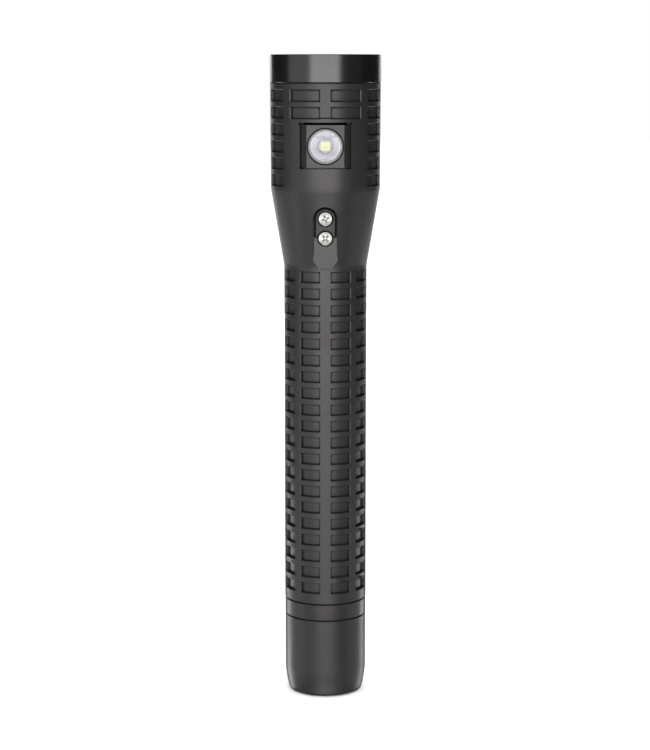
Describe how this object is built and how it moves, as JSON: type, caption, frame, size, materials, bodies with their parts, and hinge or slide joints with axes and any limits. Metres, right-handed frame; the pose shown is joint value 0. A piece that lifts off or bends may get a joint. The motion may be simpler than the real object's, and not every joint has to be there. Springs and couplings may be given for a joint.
{
  "type": "tactical flashlight",
  "caption": "Full-size rechargeable flashlight with a knurled polymer grip, a flared head, a side flood light, charging contacts and a screwed magnetic tail cap.",
  "frame": {"origin": "centre of the tail cap's flat end, on which the light stands", "axes": "+Z along the light's axis from the tail to the bezel; -Y towards the flood light and the charging contacts, +Y towards the push buttons, +X to the right as the flood light is looked at"},
  "size_m": [0.0428, 0.0428, 0.247],
  "materials": {
    "body_polymer": "black glass-filled nylon, satin, faint moulding grain",
    "cap_polymer": "black glass-filled nylon, smoother satin",
    "frame_polymer": "black nylon, matte",
    "pod_polymer": "black nylon, satin",
    "collar_metal": "black anodised, fine turned lines",
    "bezel_metal": "gloss black anodised, turned",
    "bare_aluminium": "bare, turned",
    "ring_metal": "grey anodised, satin",
    "nickel": "nickel-plated, bright",
    "magnet": "nickel-plated magnet",
    "reflector_coat": "vapour-coated mirror",
    "clear_glass": "clear, coated",
    "black_rubber": "black, matte",
    "button_rubber": "black, satin",
    "white_board": "white solder mask",
    "green_board": "green solder mask",
    "led_ceramic": "ceramic base with a pale yellow phosphor",
    "white_plastic": "white",
    "component_black": "moulded black",
    "wire_jacket": "silicone wire jacket",
    "cell_wrap": "shrink sleeve",
    "cell_can": "plated can, standing in for a full cell's density"
  },
  "bodies": {
    "light_body": {"battery_insulator": "white_plastic", "battery_negative": "nickel", "battery_positive": "nickel", "battery_sleeve": "cell_wrap", "bezel": "bezel_metal", "body_shell": "body_polymer", "cell_link": "nickel", "charge_leads": "wire_jacket", "charge_nuts": "nickel", "charge_screw_lower": "nickel", "charge_screw_upper": "nickel", "contact_block": "pod_polymer", "contact_carrier": "white_plastic", "driver_board": "green_board", "driver_components": "component_black", "flood_board": "white_board", "flood_leads": "wire_jacket", "flood_led": "led_ceramic", "flood_lens": "clear_glass", "flood_pod": "pod_polymer", "flood_reflector": "reflector_coat", "flood_ring": "ring_metal", "flood_seal": "black_rubber", "flood_switch": "component_black", "front_cell": "cell_can", "front_contact": "nickel", "front_lens": "clear_glass", "front_spring": "nickel", "head_seal": "black_rubber", "heat_sink": "bare_aluminium", "inner_tube": "bare_aluminium", "led_board": "white_board", "led_board_screws": "nickel", "led_centring_ring": "white_plastic", "led_leads": "wire_jacket", "lens_gasket": "black_rubber", "main_led": "led_ceramic", "main_reflector": "reflector_coat", "main_switch": "component_black", "rear_cell": "cell_can", "switch_board": "green_board", "switch_frame": "frame_polymer", "tail_collar": "collar_metal"},
    "cap_seal": {"tail_seal": "black_rubber"},
    "tail_cap": {"tail_cap": "cap_polymer", "tail_spring": "nickel", "tail_contact": "nickel", "tail_magnet": "magnet", "tail_pad": "black_rubber"},
    "main_button": {"main_button": "button_rubber"},
    "flood_button": {"flood_button": "button_rubber"}
  },
  "joints": [
    {"name": "cap_travel", "type": "slide", "parent": "light_body", "child": "cap_seal", "axis": [0, 0, -1], "range_m": [0, 0.01]},
    {"name": "cap_turn", "type": "hinge", "parent": "cap_seal", "child": "tail_cap", "pos_m": [0, 0, 0.02], "axis": [0, 0, -1], "range_deg": [0, 1800]},
    {"name": "main_button_press", "type": "slide", "parent": "light_body", "child": "main_button", "axis": [0, -0.9856, 0.1689], "range_m": [0, 0.001], "stiffness_N_per_m": 1500},
    {"name": "flood_button_press", "type": "slide", "parent": "light_body", "child": "flood_button", "axis": [0, -0.9856, 0.1689], "range_m": [0, 0.001], "stiffness_N_per_m": 1500}
  ],
  "couplings": [
    {"joint": "cap_turn", "follows": "cap_travel", "rad_per_m": 3141.5}
  ]
}
